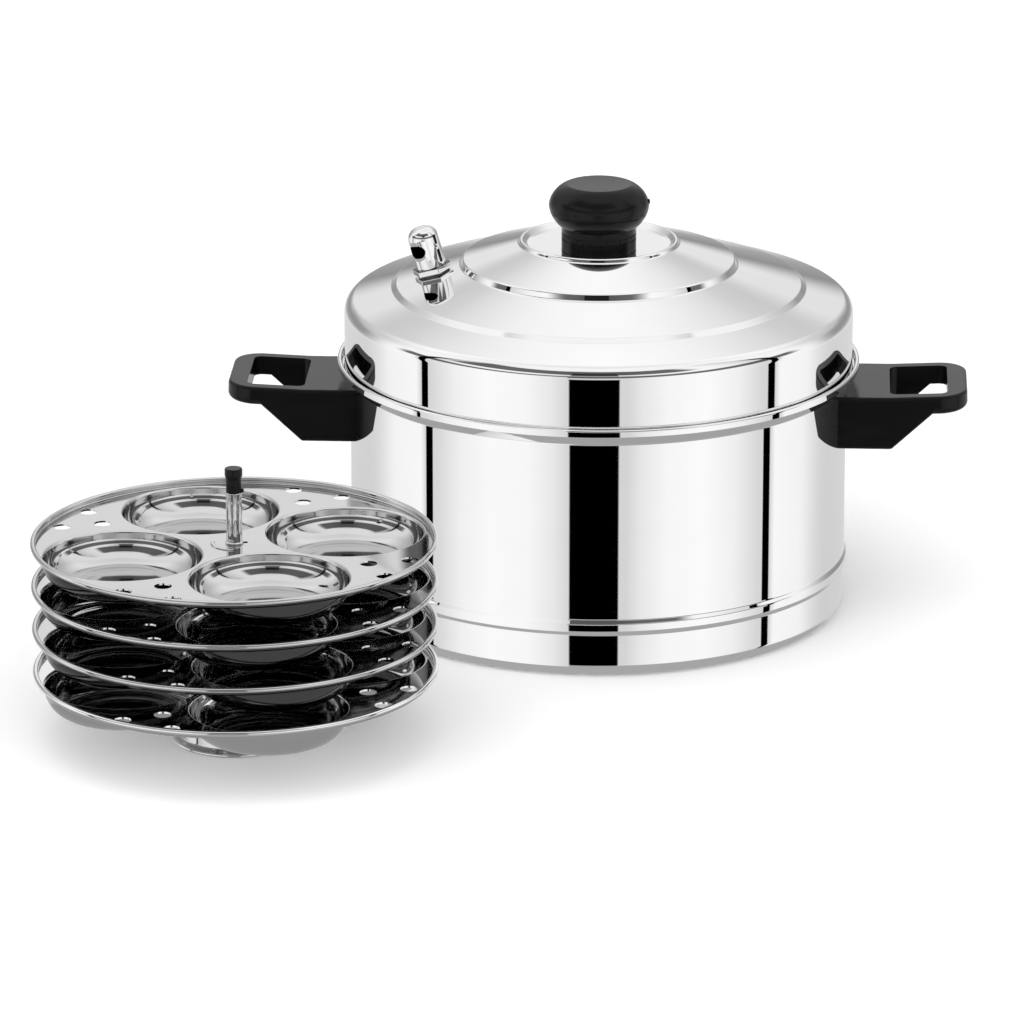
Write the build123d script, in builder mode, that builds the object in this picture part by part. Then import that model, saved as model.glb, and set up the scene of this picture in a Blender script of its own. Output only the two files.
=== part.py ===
from build123d import *
import os
from math import cos, hypot, radians, sin, tan

os.makedirs("parts", exist_ok=True)

# Lengths are millimetres and angles degrees. The origin is the centre of the pot's base,
# on the floor, with +Z up and the two side handles on the X axis.

# Fits shared by the whole object
snug_fit = 0.05
loose_fit = 0.3
seat_gap = 0.1
overrun = 2.0

# Pot
pot_radius = 120.0
pot_height = 124.0
pot_sheet = 0.85
pot_base_bend = 6.5
bead_level = 25.0
bead_height = 7.5
bead_proud = 1.3
bead_bend = 1.4
collar_height = 8.8
collar_flare = 4.0
collar_bend = 1.5
hem_height = 3.4
hem_gap = 0.5
hem_bend_share = 0.48

# Lid, with its terraces as shares of its radius
lid_overhang = 2.8
lid_sheet = 0.8
lid_shoulder_rise = 27.9
lid_shoulder_bend = 4.0
lid_slope = 16.2
terrace_foot_shares = (0.8143, 0.5456, 0.3168)
terrace_widths = (2.3, 1.5, 1.35)
terrace_rises = (2.2, 3.0, 2.7)
terrace_foot_bend = 1.0
terrace_lip_bend = 1.2
plateau_edge = 3.0
plateau_drop = 3.1

# Lid knob with its threaded insert, screw and washer
knob_neck_radius = 18.0
knob_neck_height = 8.6
knob_bulge_radius = 24.15
knob_bulge_height = 19.6
knob_top_radius = 15.5
knob_height = 29.5
knob_dish = 0.6
knob_lower_swell_share = 0.76
knob_upper_swell_share = 0.74
knob_groove_levels = (2.6, 5.2)
knob_groove_width = 0.7
knob_groove_depth = 0.4
knob_nub_reach = 0.8
knob_nub_size = 2.6
knob_insert_radius = 4.5
knob_insert_length = 12.0
knob_screw_radius = 2.5
knob_screw_length = 14.0
knob_screw_head_radius = 4.6
knob_screw_head_height = 3.0
knob_washer_radius = 8.0
knob_washer_height = 1.2

# Steam vent on the lid's slope
vent_distance_share = 0.6482
vent_bearing = 184.5
vent_window_bearing = 231.0
vent_hex_radius = 9.8
vent_hex_height = 3.0
vent_hex_edge = 0.5
vent_capsule_radius = 7.4
vent_capsule_height = 21.2
vent_capsule_crown = 5.5
vent_wall = 1.2
vent_window_width = 9.3
vent_window_height = 6.3
vent_window_level = 9.4
vent_stud_radius = 4.9
vent_stud_length = 8.0
vent_bore_radius = 2.6
vent_gasket_radius = 7.8
vent_gasket_height = 0.7
vent_nut_radius = 8.1
vent_nut_height = 4.0

# Side handles, measured from the pot's wall and down from its top
handle_drop = 11.2
handle_rise_angle = 2.4
handle_length = 58.2
handle_width = 60.0
handle_corner = 14.0
handle_loop_height = 9.2
handle_loop_top_edge = 1.5
handle_loop_bottom_edge = 3.6
handle_web_height = 25.8
handle_web_length = 22.0
handle_web_bend = 2.0
handle_web_edge = 1.4
handle_gusset_length = 40.0
handle_bridge_length = 21.0
handle_outer_bar = 9.4
handle_side_bar = 6.5
handle_hole_corner = 4.0

# Welded bracket and screw of each handle
bracket_width = 24.0
bracket_height = 18.0
bracket_sheet = 1.5
bracket_boss_radius = 4.6
bracket_boss_length = 11.0
handle_screw_radius = 2.4
handle_screw_gap = 3.5
handle_screw_head_radius = 4.2
handle_screw_head_height = 2.6
screw_slot_width = 1.0
screw_slot_depth = 1.0

# Stand: place of its rod on the floor, foot and rod
stand_x = -158.4
stand_y = -210.1
foot_radius = 26.3
foot_height = 18.0
foot_sheet = 0.8
foot_top_bend = 3.0
foot_flare_level = 2.7
foot_flare_reach = 2.2
foot_bead_radius = 1.1
rod_radius = 2.5
rod_shoulder_rise = 5.9
rod_thread_length = 9.5
rod_thread_radius = 2.0
rod_collar_radius = 5.0
rod_collar_height = 1.5
rod_tail = 7.0
rod_tip_edge = 0.4
foot_nut_radius = 4.6
foot_nut_height = 4.0
foot_washer_radius = 6.5
foot_washer_height = 1.0

# Stand: plates, from the top one down
plate_radius = 93.0
plate_sheet = 0.8
plate_pitch = 20.4
plate_count = 4
lowest_rim_top = 35.5
rim_rise = 3.0
rim_bead_radius = 1.25
rim_wall_lean = 1.3
rim_bend = 1.4
cup_circle_share = 0.5714
cup_gap = 0.3
cup_depth = 13.4
cup_wall_lean = 1.8
cup_corner_bend = 12.0
cup_mouth_bend = 1.4
cup_count = 4
cup_bearings = (22.3, 15.6, 23.2, 21.2)
drain_hole_radius = 4.0
drain_inner_share = 0.7363
drain_outer_share = 0.9011
drain_spread_angle = 8.6
notch_width = 2.4
notch_reach = 6.2
notch_bearing = 20.0
emboss_distance = 10.0
emboss_start = 173.0
emboss_arc = 100.0
emboss_width = 1.8
emboss_height = 0.6

# Stand: spacers and the lifting handle on the rod
spacer_radius = 4.5
lift_tube_radius = 3.65
lift_tube_length = 24.4
lift_tube_foot_radius = 4.1
lift_tube_foot_height = 1.0
lift_insert_gap = 1.0
lift_insert_length = 8.0
lift_cap_radius = 3.5
lift_cap_height = 11.5
lift_cap_head_radius = 4.05
lift_cap_head_height = 3.2
lift_cap_waist_height = 2.0
lift_cap_edge = 0.5
lift_cap_plug_length = 6.0
lift_cap_nub_reach = 1.1
lift_cap_nub_height = 1.8
lift_cap_nub_width = 1.6


def bent_sheet(plane, points, bends, sheet, side):
    """Section of a sheet on a plane: the points run along one face, the sheet lies on a side of it."""
    with BuildSketch(plane) as section:
        with BuildLine():
            FilletPolyline(*points, radius=bends)
            offset(amount=sheet, side=side)
        make_face()
    return section.sketch


# The pot is one deep-drawn sheet: flat base, rolled bead, flared collar and folded hem.
collar_level = pot_height - collar_height
hem_fold_radius = pot_radius + collar_flare + pot_sheet
hem_drop_radius = hem_fold_radius + hem_gap
hem_bottom = pot_height - hem_height
hem_turn = pot_height - pot_sheet
bead_slope = bead_height / 4
pot_outline = [
    (0, 0),
    (pot_radius, 0),
    (pot_radius, bead_level - bead_height / 2),
    (pot_radius + bead_proud, bead_level - bead_height / 2 + bead_slope),
    (pot_radius + bead_proud, bead_level + bead_height / 2 - bead_slope),
    (pot_radius, bead_level + bead_height / 2),
    (pot_radius, collar_level),
    (hem_fold_radius, hem_bottom),
    (hem_fold_radius, hem_turn),
    (hem_drop_radius, hem_turn),
    (hem_drop_radius, hem_bottom),
]
hem_bend = hem_gap * hem_bend_share
pot_bends = [pot_base_bend] + [bead_bend] * 4 + [collar_bend] * 2 + [hem_bend] * 2
with BuildPart() as pot_shell:
    revolve(bent_sheet(Plane.XZ, pot_outline, pot_bends, pot_sheet, Side.LEFT), axis=Axis.Z)
pot_shell.part.label = "pot_shell"
export_step(pot_shell.part, "parts/pot_shell.step")

# The lid's skirt stands on the inner face of the pot's flared collar.
lid_radius = pot_radius + lid_overhang
lid_shoulder_level = pot_height + lid_shoulder_rise
collar_run = hypot(hem_fold_radius - pot_radius, hem_bottom - collar_level)
collar_steepness = (hem_bottom - collar_level) / (hem_fold_radius - pot_radius)
collar_inner_rise = pot_sheet * collar_run / (hem_fold_radius - pot_radius)
lid_skirt_bottom = (
    collar_level + collar_inner_rise + (lid_radius - pot_radius) * collar_steepness + loose_fit
)
lid_outline = [(lid_radius, lid_skirt_bottom), (lid_radius, lid_shoulder_level)]
lid_bends = [lid_shoulder_bend]
edge_radius = lid_radius
edge_level = lid_shoulder_level
terrace_lips = []
for foot_share, terrace_width, terrace_rise in zip(terrace_foot_shares, terrace_widths, terrace_rises):
    foot_edge = lid_radius * foot_share
    foot_level = edge_level + (edge_radius - foot_edge) * tan(radians(lid_slope))
    edge_radius = foot_edge - terrace_width
    edge_level = foot_level + terrace_rise
    terrace_lips.append((edge_radius, edge_level))
    lid_outline += [(foot_edge, foot_level), (edge_radius, edge_level)]
    lid_bends += [terrace_foot_bend, terrace_lip_bend]
plateau_radius = edge_radius - plateau_edge
plateau_level = edge_level - plateau_drop
lid_outline += [(plateau_radius, plateau_level), (knob_screw_radius + snug_fit, plateau_level)]
lid_bends += [terrace_foot_bend]

# The vent stands square to the lid's slope, between its two outer terraces.
vent_distance = lid_radius * vent_distance_share
first_lip_radius, first_lip_level = terrace_lips[0]
vent_level = first_lip_level + (first_lip_radius - vent_distance) * tan(radians(lid_slope))
vent_normal = Vector(
    sin(radians(lid_slope)) * cos(radians(vent_bearing)),
    sin(radians(lid_slope)) * sin(radians(vent_bearing)),
    cos(radians(lid_slope)),
)
vent_place = Vector(
    vent_distance * cos(radians(vent_bearing)),
    vent_distance * sin(radians(vent_bearing)),
    vent_level,
)
vent_front = Vector(cos(radians(vent_window_bearing)), sin(radians(vent_window_bearing)), 0)
vent_plane = Plane(origin=vent_place, x_dir=vent_front, z_dir=vent_normal)
with BuildPart() as lid_shell:
    revolve(bent_sheet(Plane.XZ, lid_outline, lid_bends, lid_sheet, Side.LEFT), axis=Axis.Z)
    with BuildSketch(vent_plane.offset(-vent_stud_length)):
        Circle(vent_stud_radius + snug_fit)
    extrude(amount=vent_stud_length + vent_gasket_height, mode=Mode.SUBTRACT)
lid_shell.part.label = "lid_shell"
export_step(lid_shell.part, "parts/lid_shell.step")

# The knob is a turned form with grooves round its neck and a moulding nub on its bulge.
knob_top_level = plateau_level + knob_height
knob_bulge_level = plateau_level + knob_bulge_height
knob_neck_level = plateau_level + knob_neck_height
lower_swell = (knob_bulge_radius - knob_neck_radius) * knob_lower_swell_share
upper_swell = (knob_bulge_radius - knob_top_radius) * knob_upper_swell_share
with BuildPart() as lid_knob:
    with BuildSketch(Plane.XZ):
        with BuildLine():
            Polyline((0, plateau_level), (knob_neck_radius, plateau_level), (knob_neck_radius, knob_neck_level))
            ThreePointArc(
                (knob_neck_radius, knob_neck_level),
                (knob_neck_radius + lower_swell, (knob_neck_level + knob_bulge_level) / 2 - knob_dish),
                (knob_bulge_radius, knob_bulge_level),
            )
            ThreePointArc(
                (knob_bulge_radius, knob_bulge_level),
                (knob_top_radius + upper_swell, (knob_bulge_level + knob_top_level) / 2 + knob_dish),
                (knob_top_radius, knob_top_level),
            )
            Polyline((knob_top_radius, knob_top_level), (0, knob_top_level - knob_dish), (0, plateau_level))
        make_face()
    revolve(axis=Axis.Z)
    for groove_level in knob_groove_levels:
        with BuildSketch(Plane.XY.offset(plateau_level + groove_level)):
            Circle(knob_neck_radius + overrun)
            Circle(knob_neck_radius - knob_groove_depth, mode=Mode.SUBTRACT)
        extrude(amount=knob_groove_width, mode=Mode.SUBTRACT)
    with BuildSketch(Plane.YZ.offset(knob_bulge_radius - knob_nub_size)):
        with Locations((0, knob_bulge_level + knob_nub_size / 2)):
            RectangleRounded(knob_nub_size, knob_nub_size, knob_nub_size / 4)
    extrude(amount=knob_nub_size + knob_nub_reach)
    with BuildSketch(Plane.XY.offset(plateau_level)):
        Circle(knob_insert_radius + snug_fit)
    extrude(amount=knob_screw_length + loose_fit, mode=Mode.SUBTRACT)
lid_knob.part.label = "lid_knob"
export_step(lid_knob.part, "parts/lid_knob.step")

with BuildPart() as knob_insert:
    with BuildSketch(Plane.XY.offset(plateau_level + seat_gap)):
        Circle(knob_insert_radius)
        Circle(knob_screw_radius + snug_fit, mode=Mode.SUBTRACT)
    extrude(amount=knob_insert_length)
knob_insert.part.label = "knob_insert"
export_step(knob_insert.part, "parts/knob_insert.step")

lid_inner_level = plateau_level - lid_sheet
with BuildPart() as knob_washer:
    with BuildSketch(Plane.XY.offset(lid_inner_level - knob_washer_height)):
        Circle(knob_washer_radius)
        Circle(knob_screw_radius + snug_fit, mode=Mode.SUBTRACT)
    extrude(amount=knob_washer_height)
knob_washer.part.label = "knob_washer"
export_step(knob_washer.part, "parts/knob_washer.step")

screw_seat_level = lid_inner_level - knob_washer_height
with BuildPart() as knob_screw:
    with BuildSketch(Plane.XY.offset(screw_seat_level - knob_screw_head_height)):
        Circle(knob_screw_head_radius)
    extrude(amount=knob_screw_head_height)
    fillet(knob_screw.edges().group_by(Axis.Z)[0], radius=knob_screw_head_height / 3)
    with BuildSketch(Plane.XY.offset(screw_seat_level)):
        Circle(knob_screw_radius)
    extrude(amount=plateau_level + knob_screw_length - screw_seat_level)
    with BuildSketch(Plane.XY.offset(screw_seat_level - knob_screw_head_height)):
        Rectangle(knob_screw_head_radius * 2 + overrun, screw_slot_width)
    extrude(amount=screw_slot_depth, mode=Mode.SUBTRACT)
knob_screw.part.label = "knob_screw"
export_step(knob_screw.part, "parts/knob_screw.step")

# Vent: hexagonal collar, hollow capsule with one window, and a bored stud through the lid.
vent_seat = vent_plane.offset(vent_gasket_height)
vent_hex_top = vent_seat.offset(vent_hex_height)
window_centre = vent_hex_top.origin + vent_normal * vent_window_level
window_plane = Plane(origin=window_centre, x_dir=vent_plane.y_dir, z_dir=vent_plane.x_dir)
with BuildPart() as vent_chamber:
    with BuildSketch(vent_hex_top):
        Circle(vent_capsule_radius - vent_wall)
    extrude(amount=vent_capsule_height - vent_hex_height / 2 - vent_wall)
    chamber_top = vent_chamber.faces().sort_by(Axis(vent_place, vent_normal))[-1]
    fillet(chamber_top.edges(), radius=vent_capsule_crown - vent_wall)

with BuildPart() as vent_body:
    with BuildSketch(vent_seat):
        RegularPolygon(radius=vent_hex_radius, side_count=6)
    extrude(amount=vent_hex_height)
    fillet(vent_body.edges().filter_by(GeomType.LINE), radius=vent_hex_edge)
    with BuildSketch(vent_hex_top):
        Circle(vent_capsule_radius)
    extrude(amount=vent_capsule_height - vent_hex_height / 2)
    fillet(vent_body.faces().sort_by(Axis(vent_place, vent_normal))[-1].edges(), radius=vent_capsule_crown)
    with BuildSketch(vent_seat.offset(-vent_stud_length)):
        Circle(vent_stud_radius)
    extrude(amount=vent_stud_length)
    add(vent_chamber.part, mode=Mode.SUBTRACT)
    with BuildSketch(vent_seat.offset(-vent_stud_length - overrun)):
        Circle(vent_bore_radius)
    extrude(amount=vent_stud_length + vent_hex_height + overrun * 2, mode=Mode.SUBTRACT)
    with BuildSketch(window_plane):
        SlotOverall(vent_window_width, vent_window_height)
    extrude(amount=vent_capsule_radius + overrun, mode=Mode.SUBTRACT)
vent_body.part.label = "vent_body"
export_step(vent_body.part, "parts/vent_body.step")

with BuildPart() as vent_gasket:
    with BuildSketch(vent_plane):
        Circle(vent_gasket_radius)
        Circle(vent_stud_radius + snug_fit, mode=Mode.SUBTRACT)
    extrude(amount=vent_gasket_height)
vent_gasket.part.label = "vent_gasket"
export_step(vent_gasket.part, "parts/vent_gasket.step")

with BuildPart() as vent_nut:
    with BuildSketch(vent_plane.offset(-lid_sheet - loose_fit - vent_nut_height)):
        RegularPolygon(radius=vent_nut_radius, side_count=6)
        Circle(vent_stud_radius + snug_fit, mode=Mode.SUBTRACT)
    extrude(amount=vent_nut_height)
vent_nut.part.label = "vent_nut"
export_step(vent_nut.part, "parts/vent_nut.step")

# Side handle: a deep web at the pot, two gussets and a loop that rises a little outwards.
handle_top = pot_height - handle_drop
handle_reach = pot_radius + handle_length
handle_web_bottom = handle_top - handle_web_height
handle_web_reach = pot_radius + handle_web_length
handle_gusset_reach = pot_radius + handle_gusset_length
handle_hole_start = pot_radius + handle_bridge_length
bracket_level = handle_top - handle_web_height / 2
bracket_boss_reach = pot_radius + bracket_boss_length
handle_screw_start = pot_radius + handle_screw_gap
loop_bottom = handle_top - handle_loop_height
hole_end = handle_reach - handle_outer_bar
hole_half_width = handle_width / 2 - handle_side_bar
handle_root = pot_radius - handle_side_bar
loop_plane = Plane(
    origin=(handle_hole_start, 0, handle_top),
    x_dir=(cos(radians(handle_rise_angle)), 0, sin(radians(handle_rise_angle))),
    z_dir=(-sin(radians(handle_rise_angle)), 0, cos(radians(handle_rise_angle))),
)
loop_run = handle_reach - handle_hole_start
loop_overlap = (handle_hole_start - pot_radius) / 2
gusset_slope = (loop_bottom - handle_web_bottom) / (handle_gusset_reach - handle_web_reach)
gusset_top = loop_bottom + handle_loop_height / 2
handle_section = [
    (handle_root, handle_top),
    (handle_hole_start, handle_top),
    (handle_gusset_reach + (gusset_top - loop_bottom) / gusset_slope, gusset_top),
    (handle_web_reach, handle_web_bottom),
    (handle_root, handle_web_bottom),
]
screw_head_seat = handle_hole_start - handle_screw_head_height - seat_gap
screw_axis_plane = Plane(origin=(0, 0, bracket_level), x_dir=(0, 1, 0), z_dir=(1, 0, 0))
with BuildPart() as handle_loop:
    with BuildSketch(loop_plane.offset(-handle_loop_height)):
        with BuildLine():
            FilletPolyline(
                (-loop_overlap, handle_width / 2),
                (-loop_overlap, -handle_width / 2),
                (loop_run, -handle_width / 2),
                (loop_run, handle_width / 2),
                radius=[0, 0, handle_corner, handle_corner],
                close=True,
            )
        make_face()
    extrude(amount=handle_loop_height)
    loop_axis = Axis(loop_plane.origin, loop_plane.z_dir)
    fillet(handle_loop.edges().group_by(loop_axis)[-1], radius=handle_loop_top_edge)
    loop_low_edges = handle_loop.edges().group_by(loop_axis)[0]
    fillet(loop_low_edges.filter_by_position(Axis.X, pot_radius + loop_overlap + overrun, handle_reach),
           radius=handle_loop_bottom_edge)

with BuildPart() as handle_right:
    with BuildSketch(Plane.XZ):
        with BuildLine():
            FilletPolyline(*handle_section, radius=[0, 0, 0, handle_web_bend, 0], close=True)
        make_face()
    extrude(amount=handle_width / 2, both=True)
    web_edges = handle_right.edges().filter_by(
        lambda edge: edge.center().Z < loop_bottom and abs(edge.center().Y) > hole_half_width
        and edge.center().X > handle_root + snug_fit
    )
    fillet(web_edges, radius=handle_web_edge)
    web_top_edges = handle_right.edges().filter_by(Axis.X).group_by(Axis.Z)[-1]
    fillet(web_top_edges, radius=handle_web_edge)
    add(handle_loop.part)
    with BuildSketch(Plane.XY.offset(handle_web_bottom - overrun)):
        with Locations(((handle_hole_start + hole_end) / 2, 0)):
            RectangleRounded(hole_end - handle_hole_start, hole_half_width * 2, handle_hole_corner)
    extrude(amount=handle_top - handle_web_bottom + overrun * 4, mode=Mode.SUBTRACT)
    with BuildSketch(Plane.XY.offset(handle_web_bottom - overrun)):
        Circle(pot_radius)
    extrude(amount=handle_top - handle_web_bottom + overrun * 4, mode=Mode.SUBTRACT)
    with BuildSketch(Plane.XY.offset(bracket_level - bracket_height / 2 - snug_fit)):
        Circle(pot_radius + bracket_sheet + snug_fit * 2)
        with Locations((pot_radius, 0)):
            Rectangle(pot_radius, bracket_width + snug_fit * 2, mode=Mode.INTERSECT)
    extrude(amount=bracket_height + snug_fit * 2, mode=Mode.SUBTRACT)
    with BuildSketch(screw_axis_plane.offset(handle_root)):
        Circle(bracket_boss_radius + snug_fit)
    extrude(amount=bracket_boss_reach + snug_fit - handle_root, mode=Mode.SUBTRACT)
    with BuildSketch(screw_axis_plane.offset(handle_root)):
        Circle(handle_screw_radius + snug_fit)
    extrude(amount=handle_hole_start + overrun - handle_root, mode=Mode.SUBTRACT)
    with BuildSketch(screw_axis_plane.offset(screw_head_seat)):
        Circle(handle_screw_head_radius + snug_fit)
    extrude(amount=handle_screw_head_height + overrun, mode=Mode.SUBTRACT)
handle_right.part.label = "handle_right"
export_step(handle_right.part, "parts/handle_right.step")

with BuildPart() as handle_left:
    add(handle_right.part, rotation=(0, 0, 180))
handle_left.part.label = "handle_left"
export_step(handle_left.part, "parts/handle_left.step")

# Bracket welded to the pot's wall: a curved plate with a threaded boss for the handle's screw.
with BuildPart() as bracket_right:
    with BuildSketch(Plane.XY.offset(bracket_level - bracket_height / 2)):
        Circle(pot_radius + bracket_sheet)
        Circle(pot_radius + snug_fit, mode=Mode.SUBTRACT)
        with Locations((pot_radius, 0)):
            Rectangle(pot_radius, bracket_width, mode=Mode.INTERSECT)
    extrude(amount=bracket_height)
    with BuildSketch(screw_axis_plane.offset(pot_radius + bracket_sheet / 2)):
        Circle(bracket_boss_radius)
    extrude(amount=bracket_boss_reach - pot_radius - bracket_sheet / 2)
    with BuildSketch(screw_axis_plane.offset(handle_screw_start - seat_gap)):
        Circle(handle_screw_radius + snug_fit)
    extrude(amount=bracket_boss_reach - handle_screw_start + overrun, mode=Mode.SUBTRACT)
bracket_right.part.label = "bracket_right"
export_step(bracket_right.part, "parts/bracket_right.step")

with BuildPart() as bracket_left:
    add(bracket_right.part, rotation=(0, 0, 180))
bracket_left.part.label = "bracket_left"
export_step(bracket_left.part, "parts/bracket_left.step")

with BuildPart() as handle_screws:
    for turn in (0, 180):
        screw_plane = Plane(origin=(0, 0, bracket_level), x_dir=(0, 1, 0), z_dir=(cos(radians(turn)), 0, 0))
        with BuildSketch(screw_plane.offset(handle_screw_start)):
            Circle(handle_screw_radius)
        extrude(amount=screw_head_seat - handle_screw_start)
        with BuildSketch(screw_plane.offset(screw_head_seat)):
            Circle(handle_screw_head_radius)
        extrude(amount=handle_screw_head_height)
        with BuildSketch(screw_plane.offset(screw_head_seat + handle_screw_head_height - screw_slot_depth)):
            Rectangle(screw_slot_width, handle_screw_head_radius * 2 + overrun)
        extrude(amount=screw_slot_depth + overrun, mode=Mode.SUBTRACT)
handle_screws.part.label = "handle_screws"
export_step(handle_screws.part, "parts/handle_screws.step")


def stand_level(height):
    """Horizontal plane through the stand's axis."""
    return Plane(origin=(stand_x, stand_y, height), x_dir=(1, 0, 0), z_dir=(0, 0, 1))


stand_section = Plane(origin=(stand_x, stand_y, 0), x_dir=(1, 0, 0), z_dir=(0, -1, 0))
stand_axis = Axis((stand_x, stand_y, 0), (0, 0, 1))
rod_hole_radius = rod_radius + loose_fit

# Levels of the flat of each plate, from the top one down
flat_levels = [
    lowest_rim_top + plate_pitch * (plate_count - 1 - place) - rim_rise for place in range(plate_count)
]

# The foot is an upturned cup with a flared, beaded edge on the floor.
foot_outline = [
    (rod_radius + snug_fit, foot_height),
    (foot_radius, foot_height),
    (foot_radius, foot_flare_level),
    (foot_radius + foot_flare_reach, foot_bead_radius * 2),
]
foot_bead_distance = foot_radius + foot_flare_reach + foot_bead_radius / 4
with BuildPart() as stand_foot:
    foot_sheet_section = bent_sheet(
        stand_section, foot_outline, [foot_top_bend, foot_bead_radius], foot_sheet, Side.RIGHT
    )
    revolve(foot_sheet_section, axis=stand_axis)
    with BuildSketch(stand_section):
        with Locations((foot_bead_distance, foot_bead_radius)):
            Circle(foot_bead_radius)
    revolve(axis=stand_axis)
stand_foot.part.label = "stand_foot"
export_step(stand_foot.part, "parts/stand_foot.step")

# The rod has a collar on the foot, a threaded tail below it and a thinner threaded top.
rod_shoulder_level = flat_levels[0] + rod_shoulder_rise
with BuildPart() as stand_rod:
    with BuildSketch(stand_level(foot_height - rod_tail)):
        Circle(rod_radius)
    extrude(amount=rod_shoulder_level - foot_height + rod_tail)
    with BuildSketch(stand_level(rod_shoulder_level)):
        Circle(rod_thread_radius)
    extrude(amount=rod_thread_length)
    chamfer(stand_rod.edges().group_by(Axis.Z)[-1], length=rod_tip_edge)
    chamfer(stand_rod.edges().group_by(Axis.Z)[0], length=rod_tip_edge)
    with BuildSketch(stand_level(foot_height)):
        Circle(rod_collar_radius)
    extrude(amount=rod_collar_height)
stand_rod.part.label = "stand_rod"
export_step(stand_rod.part, "parts/stand_rod.step")

foot_under_level = foot_height - foot_sheet
with BuildPart() as foot_washer:
    with BuildSketch(stand_level(foot_under_level - foot_washer_height)):
        Circle(foot_washer_radius)
        Circle(rod_radius + snug_fit, mode=Mode.SUBTRACT)
    extrude(amount=foot_washer_height)
foot_washer.part.label = "foot_washer"
export_step(foot_washer.part, "parts/foot_washer.step")

with BuildPart() as foot_nut:
    with BuildSketch(stand_level(foot_under_level - foot_washer_height - foot_nut_height)):
        RegularPolygon(radius=foot_nut_radius, side_count=6)
        Circle(rod_radius + snug_fit, mode=Mode.SUBTRACT)
    extrude(amount=foot_nut_height)
foot_nut.part.label = "foot_nut"
export_step(foot_nut.part, "parts/foot_nut.step")

# The cups stand side by side round the rod, with their lips a little apart.
cup_circle_radius = plate_radius * cup_circle_share
cup_lip_radius = cup_circle_radius * sin(radians(180 / cup_count)) - cup_gap / 2
cup_mouth_radius = cup_lip_radius - cup_mouth_bend
rim_wall_foot = plate_radius - rim_bead_radius * 2 - rim_wall_lean


def make_plate(flat_level, first_cup_bearing):
    """Pressed plate with a beaded rim, its cups, steam holes between them and a notched centre hole."""
    rim_level = flat_level + rim_rise - rim_bead_radius
    rim_outline = [
        (rod_hole_radius, flat_level),
        (rim_wall_foot, flat_level),
        (rim_wall_foot + rim_wall_lean, rim_level),
    ]
    cup_outline = [
        (0, flat_level - cup_depth),
        (cup_mouth_radius - cup_wall_lean, flat_level - cup_depth),
        (cup_mouth_radius, flat_level),
        (cup_lip_radius, flat_level),
    ]
    cup_bends = [cup_corner_bend, cup_mouth_bend]
    with BuildPart() as plate:
        rim_section = bent_sheet(stand_section, rim_outline, [rim_bend], plate_sheet, Side.RIGHT)
        revolve(rim_section, axis=stand_axis)
        with BuildSketch(stand_section):
            with Locations((plate_radius - rim_bead_radius, rim_level)):
                Circle(rim_bead_radius)
        revolve(axis=stand_axis)
        with BuildSketch(stand_level(flat_level - plate_sheet - overrun)):
            with PolarLocations(cup_circle_radius, cup_count, start_angle=first_cup_bearing):
                Circle(cup_lip_radius)
            gap_bearing = first_cup_bearing + 180 / cup_count
            with PolarLocations(plate_radius * drain_inner_share, cup_count, start_angle=gap_bearing):
                Circle(drain_hole_radius)
            for spread in (-drain_spread_angle, drain_spread_angle):
                outer_bearing = gap_bearing + spread
                with PolarLocations(plate_radius * drain_outer_share, cup_count, start_angle=outer_bearing):
                    Circle(drain_hole_radius)
            with Locations(Location((0, 0), notch_bearing)):
                with Locations((notch_reach / 2, 0)):
                    Rectangle(notch_reach, notch_width)
        extrude(amount=plate_sheet + overrun * 2, mode=Mode.SUBTRACT)
        for place in range(cup_count):
            bearing = radians(first_cup_bearing + place * 360 / cup_count)
            cup_x = stand_x + cup_circle_radius * cos(bearing)
            cup_y = stand_y + cup_circle_radius * sin(bearing)
            cup_plane = Plane(origin=(cup_x, cup_y, 0), x_dir=(1, 0, 0), z_dir=(0, -1, 0))
            cup_section = bent_sheet(cup_plane, cup_outline, cup_bends, plate_sheet, Side.RIGHT)
            revolve(cup_section, axis=Axis((cup_x, cup_y, 0), (0, 0, 1)))
        with BuildSketch(stand_level(flat_level)):
            with BuildLine():
                CenterArc((0, 0), emboss_distance, emboss_start, emboss_arc)
            trace(line_width=emboss_width)
        extrude(amount=emboss_height)
    return plate


for place, (flat_level, first_cup_bearing) in enumerate(zip(flat_levels, cup_bearings), start=1):
    plate = make_plate(flat_level, first_cup_bearing)
    plate.part.label = f"plate_{place}"
    export_step(plate.part, f"parts/plate_{place}.step")

# Each spacer tube stands on the plate below it, the lowest one on the rod's collar.
spacer_feet = [level + seat_gap for level in flat_levels[1:]] + [foot_height + rod_collar_height + seat_gap]
for place, (spacer_foot, flat_level) in enumerate(zip(spacer_feet, flat_levels), start=1):
    with BuildPart() as spacer:
        with BuildSketch(stand_level(spacer_foot)):
            Circle(spacer_radius)
            Circle(rod_hole_radius, mode=Mode.SUBTRACT)
        extrude(amount=flat_level - plate_sheet - seat_gap - spacer_foot)
    spacer.part.label = f"spacer_{place}"
    export_step(spacer.part, f"parts/spacer_{place}.step")

# Lifting handle: a tube over the rod's end with a threaded insert and a plug-in cap.
lift_tube_foot = flat_levels[0] + seat_gap
lift_tube_top = lift_tube_foot + lift_tube_length
with BuildPart() as lift_tube:
    with BuildSketch(stand_level(lift_tube_foot)):
        Circle(lift_tube_radius)
    extrude(amount=lift_tube_length)
    with BuildSketch(stand_level(lift_tube_foot)):
        Circle(lift_tube_foot_radius)
    extrude(amount=lift_tube_foot_height)
    with BuildSketch(stand_level(lift_tube_foot)):
        Circle(rod_hole_radius)
    extrude(amount=lift_tube_length, mode=Mode.SUBTRACT)
lift_tube.part.label = "lift_tube"
export_step(lift_tube.part, "parts/lift_tube.step")

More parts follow.
